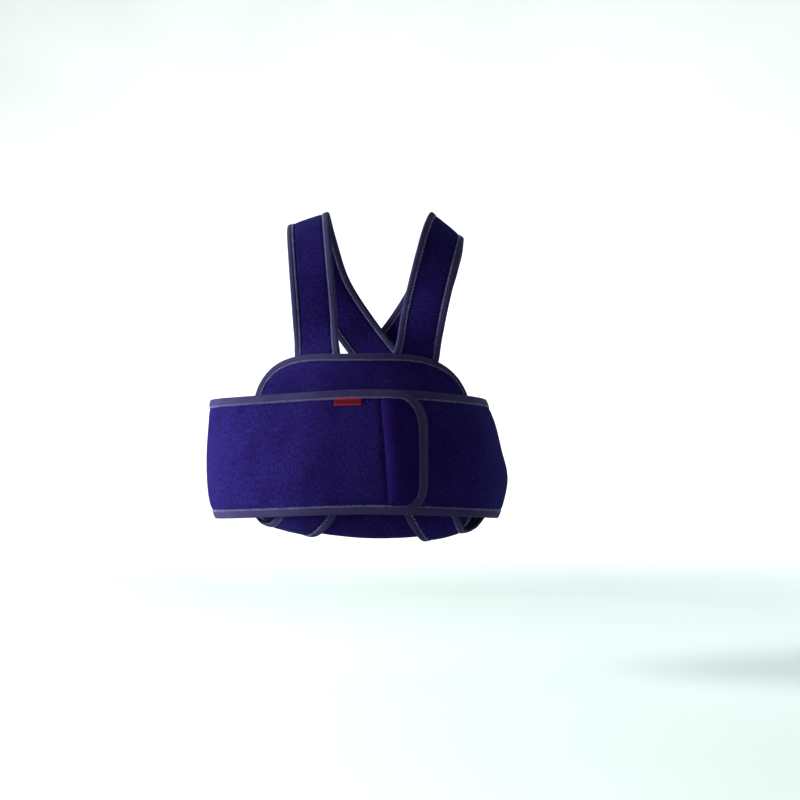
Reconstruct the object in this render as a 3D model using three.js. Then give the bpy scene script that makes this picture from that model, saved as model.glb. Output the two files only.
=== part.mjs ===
// Shoulder arm brace, in the form that it has when worn. Millimetres, +Z up, the front towards -Y.
// The origin lies between the two straps where they pass over the shoulders.
//
// Every soft piece is a flat pattern, a rounded rectangle with u along it and v across it. It is laid
// on a curved middle surface, and its thickness is set off to both sides along the surface's normal.
import * as THREE from 'three';

// Cloth and tape
const clothThickness = 4;
const pressedThickness = 1.8;
const tapeThickness = 1.1;
const beltTapeWidth = 10;
const trimTapeWidth = 7;
const seamClearance = 0.5;
const layerClearance = 0.65;

// Belt
const beltWidth = 160;
const beltInnerEnd = 75;
const beltOuterEnd = 71;
const beltEndRound = 32;
const beltEndUpperDrop = 50;
const beltEndLowerRise = 40;
const beltHiddenRound = 40;
const beltRampLength = 70;
const tabLength = 52.5;
const tabLean = 9;
const tabThickness = 1.5;
const tabClearance = 0.9;
const tabSeamRound = 4;

// Label
const labelLength = 35;
const labelHeight = 9.5;
const labelThickness = 0.8;
const labelToEnd = 85;
const labelClearance = 0.6;
const labelCornerRound = 1.5;

// Loop that the belt runs on: reaches from its upright axis to the belt's outer face
const loopAxisX = -10;
const loopAxisY = -20;
const reachLeft = 223;
const reachRight = 182;
const reachFront = 152;
const reachBack = 134;
const loopSquareness = 2.4;
const beltFrontLevel = -309;
const beltBackLevel = -328;

// Pouch
const bibTopLevel = -184;
const pouchTurnLevel = -385;
const pouchDrop = 36;
const bodyPanelTopLevel = -200;
const pouchReachLeft = 168;
const pouchReachRight = 160;
const bibLeft = -159;
const bibRight = 105;
const bibFanning = 0.35;
const bibCornerWidth = 114;
const bibCornerDrop = 64;
const bodyPanelLeft = -140;
const bodyPanelRight = 104;
const bodyPanelDepth = 104;
const bodyPanelSag = 38;
const bodyPanelCornerRound = 40;
const pouchBottomLength = 100;

// Straps
const strapWidth = 56;
const strapEndRound = 26;
const strapSeat = 78;
const strapTail = 110;
const strapSeatClearance = 2;
const seatHold = 40;
const tailHold = 30;
const tailBlend = 34;
const tailCrowding = 1.3;
const bibClearance = 1.5;
const insideHalfWidth = 137;
const insideDepth = 97;
const shoulderRise = 184;
const beltDrop = 166;

const up = new THREE.Vector3(0, 0, 1);
const tapeHalf = pressedThickness / 2 + seamClearance + tapeThickness;
const layerPitch = 2 * tapeHalf + layerClearance;

function smoothBetween(from, to, value) {
  return THREE.MathUtils.smoothstep(value, Math.min(from, to), Math.max(from, to));
}

// Reads one column of a table of sections as a smooth curve through its rows.
function readRows(rows, place, column, at) {
  const last = rows.length - 1;
  let k = 0;
  while (k < last - 1 && at > rows[k + 1][place]) k += 1;
  const slope = (i) => {
    const a = rows[Math.max(i - 1, 0)];
    const b = rows[Math.min(i + 1, last)];
    return (b[column] - a[column]) / (b[place] - a[place]);
  };
  const span = rows[k + 1][place] - rows[k][place];
  const t = THREE.MathUtils.clamp((at - rows[k][place]) / span, 0, 1);
  const t2 = t * t;
  const t3 = t2 * t;
  return (2 * t3 - 3 * t2 + 1) * rows[k][column]
    + (t3 - 2 * t2 + t) * span * slope(k)
    + (3 * t2 - 2 * t3) * rows[k + 1][column]
    + (t3 - t2) * span * slope(k + 1);
}

// Reaches of the loop at heights over the belt, as shares of the driving reaches. Height 0 is the
// belt's lower edge and height 1 its upper edge.
const loopRows = [
  { height: -0.3, left: 0.90, right: 0.83, front: 0.88, back: 0.93 },
  { height: 0.00, left: 0.95, right: 0.93, front: 0.972, back: 0.95 },
  { height: 0.13, left: 0.982, right: 0.972, front: 0.997, back: 0.96 },
  { height: 0.35, left: 0.998, right: 1.0, front: 1.0, back: 0.97 },
  { height: 0.58, left: 1.0, right: 0.955, front: 0.947, back: 0.985 },
  { height: 0.80, left: 0.991, right: 0.91, front: 0.868, back: 1.0 },
  { height: 1.00, left: 0.982, right: 0.845, front: 0.79, back: 1.0 },
  { height: 1.35, left: 0.96, right: 0.76, front: 0.66, back: 1.0 },
];
const beltLean = 0.975;

// Front reach of the loop at a height, as a share of that at the belt's middle.
function frontNarrowing(height) {
  return readRows(loopRows, 'height', 'front', height) / readRows(loopRows, 'height', 'front', 0.5);
}

// Middle level of the belt: it rides higher in front than at the back.
function beltLevel(angle) {
  const frontness = ((1 - Math.sin(angle)) / 2) ** 2;
  return beltBackLevel + (beltFrontLevel - beltBackLevel) * frontness;
}

function loopHeightAt(angle, z) {
  return (z - beltLevel(angle)) / (beltWidth * beltLean) + 0.5;
}

// Point of the belt's outer face. The angle runs counterclockwise seen from above, 0 at +X.
function loopPoint(angle, height) {
  const reachX = Math.cos(angle) < 0
    ? reachLeft * readRows(loopRows, 'height', 'left', height)
    : reachRight * readRows(loopRows, 'height', 'right', height);
  const reachY = Math.sin(angle) < 0
    ? reachFront * readRows(loopRows, 'height', 'front', height)
    : reachBack * readRows(loopRows, 'height', 'back', height);
  const radius = (Math.abs(Math.cos(angle) / reachX) ** loopSquareness
    + Math.abs(Math.sin(angle) / reachY) ** loopSquareness) ** (-1 / loopSquareness);
  return new THREE.Vector3(
    loopAxisX + radius * Math.cos(angle),
    loopAxisY + radius * Math.sin(angle),
    beltLevel(angle) + (height - 0.5) * beltWidth * beltLean,
  );
}

// Level outward direction at a point of the loop.
function loopOutward(angle, height) {
  const step = 0.01;
  const along = loopPoint(angle + step, height).sub(loopPoint(angle - step, height));
  return along.cross(up).normalize();
}

// Length along the loop at the belt's middle, 0 at the front and growing towards +X.
const frontAngle = -Math.PI / 2;
const loopSteps = 1440;
const loopLengths = [0];
for (let k = 1; k <= loopSteps; k += 1) {
  const before = loopPoint(frontAngle + ((k - 1) / loopSteps) * 2 * Math.PI, 0.5);
  const here = loopPoint(frontAngle + (k / loopSteps) * 2 * Math.PI, 0.5);
  loopLengths.push(loopLengths[k - 1] + Math.hypot(here.x - before.x, here.y - before.y));
}
const loopLength = loopLengths[loopSteps];

function angleAt(length) {
  const turns = Math.floor(length / loopLength);
  const rest = length - turns * loopLength;
  let low = 0;
  let high = loopSteps;
  while (high - low > 1) {
    const middle = (low + high) >> 1;
    if (loopLengths[middle] <= rest) low = middle;
    else high = middle;
  }
  const share = (rest - loopLengths[low]) / (loopLengths[high] - loopLengths[low]);
  return frontAngle + ((low + share) / loopSteps + turns) * 2 * Math.PI;
}

// Sets a point off a middle surface along its normal, which is the cross product of u and v.
const slopeStep = 0.5;
function offSurface(surface, u, v, offset) {
  const alongU = surface(u + slopeStep, v).sub(surface(u - slopeStep, v));
  const alongV = surface(u, v + slopeStep).sub(surface(u, v - slopeStep));
  return surface(u, v).addScaledVector(alongU.cross(alongV).normalize(), offset);
}

// Flat pattern: u from 0 to length, v from -width/2 to width/2. The corners are superellipse
// quarters, in the order start low, end low, end high, start high.
function corner(reachU, reachV, power = 2) {
  return { reachU, reachV, power };
}

// Points round the pattern's edge, set in from it by inset, counterclockwise in u and v. Each corner
// has cornerSteps on each of its two halves, and the corner's middle ends one side and starts the next.
function patternRing(pattern, inset) {
  const { length, width, corners, alongSteps, acrossSteps, cornerSteps, crowding = 1 } = pattern;
  const smallest = 1;
  const low = -width / 2 + inset;
  const high = width / 2 - inset;
  const start = inset;
  const end = length - inset;
  const arcs = corners.map((c, i) => {
    const reachU = Math.max(c.reachU - inset, smallest);
    const reachV = Math.max(c.reachV - inset, smallest);
    const atEnd = i === 1 || i === 2;
    const atHigh = i > 1;
    const centreU = atEnd ? end - reachU : start + reachU;
    const centreV = atHigh ? high - reachV : low + reachV;
    return (turn) => {
      const sideU = Math.cos(turn);
      const sideV = Math.sin(turn);
      return [
        centreU + (atEnd ? 1 : -1) * reachU * Math.abs(sideU) ** (2 / c.power),
        centreV + (atHigh ? 1 : -1) * reachV * Math.abs(sideV) ** (2 / c.power),
      ];
    };
  });
  // Each arc's turn is 0 on the end sides and a right angle on the long sides.
  const points = [];
  const quarter = Math.PI / 2;
  const even = (t) => t;
  const towardsEnd = (t) => 1 - (1 - t) ** crowding;
  const fromEnd = (t) => 1 - towardsEnd(1 - t);
  const sides = [
    { from: 0, to: 1, turn: quarter, steps: alongSteps, spread: towardsEnd },
    { from: 1, to: 2, turn: 0, steps: acrossSteps, spread: even },
    { from: 2, to: 3, turn: quarter, steps: alongSteps, spread: fromEnd },
    { from: 3, to: 0, turn: 0, steps: acrossSteps, spread: even },
  ];
  for (const side of sides) {
    const halfTurn = quarter / 2;
    for (let k = 0; k < cornerSteps; k += 1) {
      points.push(arcs[side.from](halfTurn + (side.turn - halfTurn) * (k / cornerSteps)));
    }
    const [u0, v0] = arcs[side.from](side.turn);
    const [u1, v1] = arcs[side.to](side.turn);
    for (let k = 0; k < side.steps; k += 1) {
      const run = side.spread(k / side.steps);
      points.push([u0 + (u1 - u0) * run, v0 + (v1 - v0) * run]);
    }
    for (let k = 0; k < cornerSteps; k += 1) {
      points.push(arcs[side.to](side.turn + (halfTurn - side.turn) * (k / cornerSteps)));
    }
  }
  return points;
}

function meshOf(name, positions, triangles, material) {
  const geometry = new THREE.BufferGeometry();
  const coordinates = positions.flatMap((p) => p.toArray());
  geometry.setAttribute('position', new THREE.Float32BufferAttribute(coordinates, 3));
  geometry.setIndex(triangles);
  geometry.computeVertexNormals();
  const mesh = new THREE.Mesh(geometry, material);
  mesh.name = name;
  return mesh;
}

// Solid sheet: rings round the edge at the given insets, pressed to edgeThickness, and a grid inside
// the last ring, filled by blending its four sides, with the full thickness.
function sheetMesh(name, pattern, surface, { insets, edgeThickness, thickness }, material) {
  const { alongSteps, acrossSteps, cornerSteps } = pattern;
  const columns = alongSteps + 2 * cornerSteps;
  const rows = acrossSteps + 2 * cornerSteps;
  const ringCount = 2 * (columns + rows);
  const flat = insets.map((inset) => patternRing(pattern, inset)
    .map(([u, v]) => ({ u, v, half: edgeThickness / 2 })));
  const inner = flat[flat.length - 1];
  const lowSide = (i) => inner[i];
  const endSide = (j) => inner[columns + j];
  const highSide = (i) => inner[(columns + rows + (columns - i)) % ringCount];
  const startSide = (j) => inner[(2 * columns + rows + (rows - j)) % ringCount];
  const gridIndex = (i, j) => {
    const base = (flat.length - 1) * ringCount;
    if (j === 0) return base + i;
    if (i === columns) return base + columns + j;
    if (j === rows) return base + ((columns + rows + (columns - i)) % ringCount);
    if (i === 0) return base + ((2 * columns + rows + (rows - j)) % ringCount);
    return flat.length * ringCount + (j - 1) * (columns - 1) + (i - 1);
  };
  const nodes = flat.flat();
  for (let j = 1; j < rows; j += 1) {
    for (let i = 1; i < columns; i += 1) {
      const s = i / columns;
      const t = j / rows;
      const blend = (key) => (1 - t) * lowSide(i)[key] + t * highSide(i)[key]
        + (1 - s) * startSide(j)[key] + s * endSide(j)[key]
        - (1 - s) * (1 - t) * lowSide(0)[key] - s * (1 - t) * lowSide(columns)[key]
        - (1 - s) * t * highSide(0)[key] - s * t * highSide(columns)[key];
      nodes.push({ u: blend('u'), v: blend('v'), half: thickness / 2 });
    }
  }
  const count = nodes.length;
  const lift = pattern.lift ?? 0;
  const positions = [
    ...nodes.map((n) => offSurface(surface, n.u, n.v, lift + n.half)),
    ...nodes.map((n) => offSurface(surface, n.u, n.v, lift - n.half)),
  ];
  const triangles = [];
  const quad = (a, b, c, d) => {
    triangles.push(a, b, c, a, c, d);
    triangles.push(count + a, count + c, count + b, count + a, count + d, count + c);
  };
  for (let r = 0; r + 1 < flat.length; r += 1) {
    for (let k = 0; k < ringCount; k += 1) {
      const next = (k + 1) % ringCount;
      quad(r * ringCount + k, r * ringCount + next, (r + 1) * ringCount + next, (r + 1) * ringCount + k);
    }
  }
  for (let j = 0; j < rows; j += 1) {
    for (let i = 0; i < columns; i += 1) {
      quad(gridIndex(i, j), gridIndex(i + 1, j), gridIndex(i + 1, j + 1), gridIndex(i, j + 1));
    }
  }
  for (let k = 0; k < ringCount; k += 1) {
    const next = (k + 1) % ringCount;
    triangles.push(k, count + k, count + next, k, count + next, next);
  }
  return meshOf(name, positions, triangles, material);
}

// A padded sheet is pressed flat under its tape and rises to its full thickness beyond it.
function padded(tapeWidth) {
  return {
    insets: [0, tapeWidth + seamClearance],
    edgeThickness: pressedThickness,
    thickness: clothThickness,
  };
}

function plain(thickness) {
  return { insets: [0], edgeThickness: thickness, thickness };
}

// Tape folded over the sheet's edge: a channel section swept round the pattern.
function bindingMesh(name, pattern, surface, tapeWidth, material) {
  const innerHalf = tapeHalf - tapeThickness;
  const outside = -(seamClearance + tapeThickness);
  const section = [
    [outside, -tapeHalf], [tapeWidth, -tapeHalf], [tapeWidth, -innerHalf], [-seamClearance, -innerHalf],
    [-seamClearance, innerHalf], [tapeWidth, innerHalf], [tapeWidth, tapeHalf], [outside, tapeHalf],
  ];
  const rings = section.map(([inset]) => patternRing(pattern, inset));
  const steps = rings[0].length;
  const positions = [];
  for (let k = 0; k < steps; k += 1) {
    section.forEach(([, offset], i) => {
      positions.push(offSurface(surface, rings[i][k][0], rings[i][k][1], offset));
    });
  }
  const sides = section.length;
  const triangles = [];
  for (let k = 0; k < steps; k += 1) {
    const here = k * sides;
    const there = ((k + 1) % steps) * sides;
    for (let i = 0; i < sides; i += 1) {
      const next = (i + 1) % sides;
      // The diagonals run as those of the sheet between its rings, so that the two stay parallel.
      if (section[next][0] < section[i][0]) {
        triangles.push(here + i, here + next, there + i, here + next, there + next, there + i);
      } else {
        triangles.push(here + i, there + next, there + i, here + i, here + next, there + next);
      }
    }
  }
  return meshOf(name, positions, triangles, material);
}

// Belt. It starts at its hidden inner end, runs once round and lies over its own start. The outer
// end keeps its length where the loop is narrower than at the belt's middle.
const beltLength = loopLength + beltInnerEnd + beltOuterEnd;
function beltSurface(u, v) {
  const height = v / beltWidth + 0.5;
  const pastFront = Math.max(u - beltInnerEnd - loopLength, 0);
  const fanned = (pastFront ** 2 / beltOuterEnd) * (1 / frontNarrowing(height) - 1);
  const angle = angleAt(u - beltInnerEnd + fanned);
  const ramp = smoothBetween(loopLength - beltRampLength, loopLength - layerPitch, u);
  const lifted = layerPitch * ramp - clothThickness / 2;
  return loopPoint(angle, height).addScaledVector(loopOutward(angle, height), lifted);
}

const beltPattern = {
  length: beltLength,
  width: beltWidth,
  corners: [
    corner(beltHiddenRound, beltHiddenRound),
    corner(beltEndRound, beltEndLowerRise),
    corner(beltEndRound, beltEndUpperDrop),
    corner(beltHiddenRound, beltHiddenRound),
  ],
  alongSteps: 56,
  acrossSteps: 3,
  cornerSteps: 2,
};

// End tab: a thin patch on the outer end, inside the tape. Its start is the upright seam.
const tabInset = beltTapeWidth + seamClearance;
const tabSpan = tabLength - tabInset;
const tabPattern = {
  length: tabSpan,
  width: beltWidth - 2 * tabInset,
  corners: [
    corner(tabSeamRound, tabSeamRound),
    corner(beltEndRound - tabInset, beltEndLowerRise - tabInset),
    corner(beltEndRound - tabInset, beltEndUpperDrop - tabInset),
    corner(tabSeamRound, tabSeamRound),
  ],
  alongSteps: 3,
  acrossSteps: 4,
  cornerSteps: 2,
  lift: clothThickness / 2 + tabClearance + tabThickness / 2,
};
const tabStart = beltLength - tabLength;

// Label: a small plain plate on the belt, just under the upper tape.
const labelPattern = {
  length: labelLength,
  width: labelHeight,
  corners: Array.from({ length: 4 }, () => corner(labelCornerRound, labelCornerRound)),
  alongSteps: 3,
  acrossSteps: 1,
  cornerSteps: 1,
  lift: clothThickness / 2 + labelClearance + labelThickness / 2,
};
const labelMiddle = beltWidth / 2 - beltTapeWidth - seamClearance - labelHeight / 2;
const labelNarrowing = frontNarrowing(labelMiddle / beltWidth + 0.5);
const labelStart = beltLength - labelToEnd - labelLength / labelNarrowing;

// Body-side panel of the pouch, by its place across (0 to 1) and its level.
function bodyPanelPoint(across, z) {
  const side = 2 * across - 1;
  return new THREE.Vector3(
    bodyPanelLeft + (bodyPanelRight - bodyPanelLeft) * across,
    -(bodyPanelDepth - bodyPanelSag * side * side),
    z,
  );
}

// Front panel of the pouch: behind the belt and the strap ends, fanned out where the loop narrows,
// and from the belt's top upwards drawn back to the body-side panel, with room for a strap between.
const strapEndLevel = beltFrontLevel - 0.18 * beltWidth;
const drawnLevel = beltFrontLevel + 0.42 * beltWidth;
const behindBelt = clothThickness / 2 + 2 * tapeHalf + 2 * layerClearance;
function frontPanelPoint(across, z) {
  const length = -pouchReachLeft + (pouchReachLeft + pouchReachRight) * across;
  const height = loopHeightAt(angleAt(length), z);
  const angle = angleAt(length * (1 + bibFanning * (1 / frontNarrowing(height) - 1)));
  const aboveStrapEnds = smoothBetween(strapEndLevel, strapEndLevel + beltWidth / 2, z);
  const strapRoom = (2 * tapeHalf + strapSeatClearance) * (1 - aboveStrapEnds);
  const inward = -(behindBelt + strapRoom);
  const lower = loopPoint(angle, height).addScaledVector(loopOutward(angle, height), inward);
  const upper = bodyPanelPoint(across, z);
  upper.x = bibLeft + (bibRight - bibLeft) * across;
  upper.y -= 2 * layerPitch + bibClearance;
  const drawn = smoothBetween(drawnLevel, bibTopLevel, z);
  return lower.lerp(upper, drawn);
}

// Drop of the pouch's fold below the turn level, across the pouch.
const foldRows = [
  { across: 0.00, drop: 0.36 },
  { across: 0.15, drop: 0.62 },
  { across: 0.33, drop: 0.88 },
  { across: 0.55, drop: 1.00 },
  { across: 0.80, drop: 0.92 },
  { across: 1.00, drop: 0.66 },
];

// Pouch surface. v starts at the top of the body-side panel, runs down it, round the fold under the
// front and up to the top of the bib, so that the normal points away from the channel.
const bodySpan = bodyPanelTopLevel - pouchTurnLevel;
const frontSpan = bibTopLevel - pouchTurnLevel;
const pouchSpan = bodySpan + pouchBottomLength + frontSpan;
const pouchWidth = pouchReachLeft + pouchReachRight;
const bodyPanelSpread = pouchWidth / (bodyPanelRight - bodyPanelLeft);
function pouchSurface(u, v) {
  const across = u / pouchWidth;
  const along = v + pouchSpan / 2;
  if (along <= bodySpan) return bodyPanelPoint(across, pouchTurnLevel + bodySpan - along);
  if (along >= bodySpan + pouchBottomLength) {
    return frontPanelPoint(across, pouchTurnLevel + along - bodySpan - pouchBottomLength);
  }
  // The fold is a Bezier arc whose lowest point lies at three quarters of its handles' length.
  const t = (along - bodySpan) / pouchBottomLength;
  const handle = (pouchDrop * readRows(foldRows, 'across', 'drop', across)) / 0.75;
  const back = bodyPanelPoint(across, pouchTurnLevel);
  const front = frontPanelPoint(across, pouchTurnLevel);
  const lean = frontPanelPoint(across, pouchTurnLevel).sub(frontPanelPoint(across, pouchTurnLevel + 1));
  const fold = new THREE.CubicBezierCurve3(
    back,
    back.clone().addScaledVector(up, -handle),
    front.clone().addScaledVector(lean.normalize(), handle),
    front,
  );
  return fold.getPoint(t);
}

const pouchPattern = {
  length: pouchWidth,
  width: pouchSpan,
  corners: [
    corner(bodyPanelCornerRound, bodyPanelCornerRound),
    corner(bodyPanelCornerRound, bodyPanelCornerRound),
    corner(bibCornerWidth, bibCornerDrop, 2.6),
    corner(bibCornerWidth, bibCornerDrop, 2.6),
  ],
  alongSteps: 8,
  acrossSteps: 22,
  cornerSteps: 3,
};

// Strap: sewn on the body-side panel, free from there over the shoulder and across the back, and
// laid round the fold of the pouch and up its front. Its free part is a ribbon through stations.
// x, y and z are shares of insideHalfWidth, insideDepth, and shoulderRise above the belt's top
// corner or beltDrop below it; the facing is the outward direction of the ribbon.
function stationPoint(station) {
  const drop = station.z < -1
    ? -shoulderRise + (station.z + 1) * beltDrop
    : station.z * shoulderRise;
  return new THREE.Vector3(station.x * insideHalfWidth, station.y * insideDepth, drop);
}

function strapShape({ seat, stations, tail }) {
  // Upper end, on the channel side of the body-side panel, which is narrower than its pattern.
  const seatSlope = new THREE.Vector2(seat.lean, -1).normalize();
  const onSeat = (s, q, offset) => {
    const u = seat.u + (seatSlope.x * s + seatSlope.y * q) * bodyPanelSpread;
    const v = seat.v + seatSlope.y * s - seatSlope.x * q;
    return offSurface(pouchSurface, u, v, -(layerPitch + offset));
  };
  // Lower end, on the outside of the fold and the front. s runs back from the end of the strap.
  const tailSlope = new THREE.Vector2(tail.towards * Math.cos(tail.angle), Math.sin(tail.angle));
  const tailLength = strapTail + tail.wrap;
  const onTail = (s, q, offset) => {
    const u = tail.u + tailSlope.x * (strapTail - s) - tailSlope.y * q;
    const v = tail.v + tailSlope.y * (strapTail - s) + tailSlope.x * q;
    return offSurface(pouchSurface, u, v, 2 * tapeHalf + strapSeatClearance + offset);
  };
  const seatFacing = onSeat(strapSeat, 0, 1).sub(onSeat(strapSeat, 0, 0));
  const tailFacing = onTail(tailLength, 0, 1).sub(onTail(tailLength, 0, 0));
  const points = [onSeat(strapSeat, 0, 0), ...stations.map(stationPoint), onTail(tailLength, 0, 0)];
  const stationFacings = stations.map((s) => new THREE.Vector3(...s.facing).normalize());
  const facings = [seatFacing, ...stationFacings, tailFacing];
  // End stations are doubled on the laid parts, so that the free part leaves them in line.
  points.unshift(onSeat(strapSeat - seatHold, 0, 0));
  facings.unshift(seatFacing);
  points.push(onTail(tailLength - tailHold, 0, 0));
  facings.push(tailFacing);
  const centre = new THREE.CatmullRomCurve3(points, false, 'centripetal');
  const facing = new THREE.CatmullRomCurve3(facings, false, 'catmullrom', 0.5);
  centre.arcLengthDivisions = 600;
  const total = centre.getLength();
  const freeLength = total - points[0].distanceTo(points[1])
    - points[points.length - 1].distanceTo(points[points.length - 2]);
  const before = points[0].distanceTo(points[1]);
  const length = strapSeat + freeLength + tailLength;
  const onRibbon = (s, q) => {
    const share = THREE.MathUtils.clamp((s - strapSeat + before) / total, 0, 1);
    const t = centre.getUtoTmapping(share);
    const tangent = centre.getTangent(t);
    const outward = facing.getPoint(t);
    outward.addScaledVector(tangent, -outward.dot(tangent)).normalize();
    const sideways = outward.clone().cross(tangent);
    return centre.getPoint(t).addScaledVector(sideways, q);
  };
  const surface = (u, v) => {
    const back = length - u;
    if (u <= strapSeat) return onSeat(u, v, 0);
    if (back <= tailLength) return onTail(back, v, 0);
    const ribbon = onRibbon(u, v);
    const leaving = smoothBetween(strapSeat, strapSeat + strapWidth / 2, u);
    if (leaving < 1) return onSeat(u, v, 0).lerp(ribbon, leaving);
    const arriving = smoothBetween(tailLength, tailLength + tailBlend, back);
    if (arriving < 1) return onTail(back, v, 0).lerp(ribbon, arriving);
    return ribbon;
  };
  const pattern = {
    length,
    width: strapWidth,
    corners: Array.from({ length: 4 }, () => corner(strapEndRound, strapEndRound)),
    alongSteps: 44,
    acrossSteps: 1,
    cornerSteps: 1,
    crowding: tailCrowding,
  };
  return { surface, pattern };
}

const foldMiddle = bodySpan + pouchBottomLength / 2 - pouchSpan / 2;
const seatStart = -(pouchSpan / 2) + strapSeat - (bibTopLevel - bodyPanelTopLevel);
const rightStrap = strapShape({
  seat: { u: pouchWidth * 0.28, v: seatStart, lean: -0.1 },
  stations: [
    { x: -0.62, y: -1.0, z: -0.70, facing: [0, -1, 0.2] },
    { x: -0.66, y: -0.80, z: -0.38, facing: [-0.1, -0.85, 0.5] },
    { x: -0.70, y: -0.40, z: -0.08, facing: [-0.2, -0.5, 0.85] },
    { x: -0.71, y: 0.08, z: 0.012, facing: [-0.33, 0.05, 0.94] },
    { x: -0.66, y: 0.60, z: -0.14, facing: [-0.2, 0.65, 0.75] },
    { x: -0.52, y: 0.94, z: -0.46, facing: [-0.1, 0.95, 0.3] },
    { x: -0.27, y: 1.04, z: -0.76, facing: [-0.03, 1, 0.05] },
    { x: 0.03, y: 1.03, z: -1.05, facing: [0.03, 1, 0] },
    { x: 0.38, y: 0.96, z: -1.36, facing: [0.15, 1, 0] },
    { x: 0.70, y: 0.72, z: -1.66, facing: [0.5, 0.86, 0] },
    { x: 0.93, y: 0.29, z: -1.90, facing: [0.92, 0.38, 0] },
    { x: 0.98, y: -0.10, z: -2.08, facing: [0.92, 0.08, -0.4] },
    { x: 0.87, y: -0.42, z: -2.25, facing: [0.2, 0.3, -0.9] },
  ],
  tail: { u: pouchWidth * 0.895, v: foldMiddle, wrap: 8, towards: -1, angle: THREE.MathUtils.degToRad(48) },
});
const leftStrap = strapShape({
  seat: { u: pouchWidth * 0.69, v: seatStart, lean: 0.24 },
  stations: [
    { x: 0.43, y: -1.0, z: -0.70, facing: [0.02, -1, 0.2] },
    { x: 0.53, y: -0.80, z: -0.38, facing: [0.15, -0.85, 0.5] },
    { x: 0.62, y: -0.40, z: -0.12, facing: [0.4, -0.5, 0.75] },
    { x: 0.665, y: 0.08, z: -0.035, facing: [0.65, 0.05, 0.76] },
    { x: 0.62, y: 0.60, z: -0.20, facing: [0.4, 0.65, 0.65] },
    { x: 0.49, y: 0.97, z: -0.50, facing: [0.1, 0.95, 0.3] },
    { x: 0.26, y: 1.13, z: -0.78, facing: [0.03, 1, 0.05] },
    { x: -0.03, y: 1.13, z: -1.05, facing: [-0.03, 1, 0] },
    { x: -0.38, y: 1.02, z: -1.36, facing: [-0.15, 1, 0] },
    { x: -0.70, y: 0.72, z: -1.66, facing: [-0.5, 0.86, 0] },
    { x: -0.95, y: 0.30, z: -1.90, facing: [-0.92, 0.38, 0] },
    { x: -1.06, y: -0.10, z: -2.06, facing: [-1, 0, -0.2] },
    { x: -1.09, y: -0.46, z: -2.23, facing: [-0.6, 0.2, -0.75] },
  ],
  tail: { u: pouchWidth * 0.11, v: foldMiddle, wrap: 20, towards: 1, angle: THREE.MathUtils.degToRad(45) },
});

const cloth = new THREE.MeshStandardMaterial({ color: 0x28206a, roughness: 0.95, metalness: 0 });
const tape = new THREE.MeshStandardMaterial({ color: 0x4a4478, roughness: 0.8, metalness: 0 });
const patch = new THREE.MeshStandardMaterial({ color: 0x231a62, roughness: 0.95, metalness: 0 });
const red = new THREE.MeshStandardMaterial({ color: 0x7a1626, roughness: 0.7, metalness: 0 });

const brace = new THREE.Group();
brace.name = 'shoulder_arm_brace';

brace.add(sheetMesh('belt', beltPattern, beltSurface, padded(beltTapeWidth), cloth));
brace.add(bindingMesh('belt_binding', beltPattern, beltSurface, beltTapeWidth, tape));
// The upright seam leans: its upper end lies further from the belt's rounded end than its lower one.
const tabLeaning = (u, v) => (tabLean * (v / beltWidth)) * (1 - u / tabSpan);
const tabSurface = (u, v) => beltSurface(tabStart + u - tabLeaning(u, v), v);
brace.add(sheetMesh('belt_end_tab', tabPattern, tabSurface, plain(tabThickness), patch));
const labelSurface = (u, v) => beltSurface(labelStart + u / labelNarrowing, labelMiddle + v);
brace.add(sheetMesh('label', labelPattern, labelSurface, plain(labelThickness), red));

brace.add(sheetMesh('pouch', pouchPattern, pouchSurface, padded(trimTapeWidth), cloth));
brace.add(bindingMesh('pouch_binding', pouchPattern, pouchSurface, trimTapeWidth, tape));

for (const [side, strap] of [['right', rightStrap], ['left', leftStrap]]) {
  brace.add(sheetMesh(`${side}_strap`, strap.pattern, strap.surface, padded(trimTapeWidth), cloth));
  brace.add(bindingMesh(`${side}_strap_binding`, strap.pattern, strap.surface, trimTapeWidth, tape));
}

export default brace;
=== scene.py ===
import bpy
import numpy as np
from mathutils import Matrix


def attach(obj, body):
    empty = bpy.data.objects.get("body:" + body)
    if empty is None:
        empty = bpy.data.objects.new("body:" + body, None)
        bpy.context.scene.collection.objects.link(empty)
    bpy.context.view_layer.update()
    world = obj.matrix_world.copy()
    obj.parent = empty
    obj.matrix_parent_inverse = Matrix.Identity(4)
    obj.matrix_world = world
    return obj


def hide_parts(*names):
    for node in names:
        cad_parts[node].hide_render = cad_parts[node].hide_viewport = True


# Shoulder arm brace, in the form that it has when worn. Lengths are in millimetres and become metres
# when a mesh is made. +Z up, the front towards -Y.
#
# Every soft piece is a flat pattern, a rounded rectangle with u along it and v across it. It is laid
# on a curved middle surface, and its thickness is set off to both sides along the surface's normal.
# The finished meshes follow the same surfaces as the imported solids, with many more stations.

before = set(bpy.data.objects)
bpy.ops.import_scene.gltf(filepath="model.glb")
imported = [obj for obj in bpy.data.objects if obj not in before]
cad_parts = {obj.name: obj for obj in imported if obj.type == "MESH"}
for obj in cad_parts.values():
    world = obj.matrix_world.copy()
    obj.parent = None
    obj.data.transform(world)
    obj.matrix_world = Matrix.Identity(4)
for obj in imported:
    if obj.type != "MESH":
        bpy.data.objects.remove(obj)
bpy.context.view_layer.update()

# Cloth and tape
CLOTH_THICKNESS = 4
PRESSED_THICKNESS = 1.8
TAPE_THICKNESS = 1.1
BELT_TAPE_WIDTH = 10
TRIM_TAPE_WIDTH = 7
SEAM_CLEARANCE = 0.5
LAYER_CLEARANCE = 0.65
TAPE_HALF = PRESSED_THICKNESS / 2 + SEAM_CLEARANCE + TAPE_THICKNESS
LAYER_PITCH = 2 * TAPE_HALF + LAYER_CLEARANCE

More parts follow.
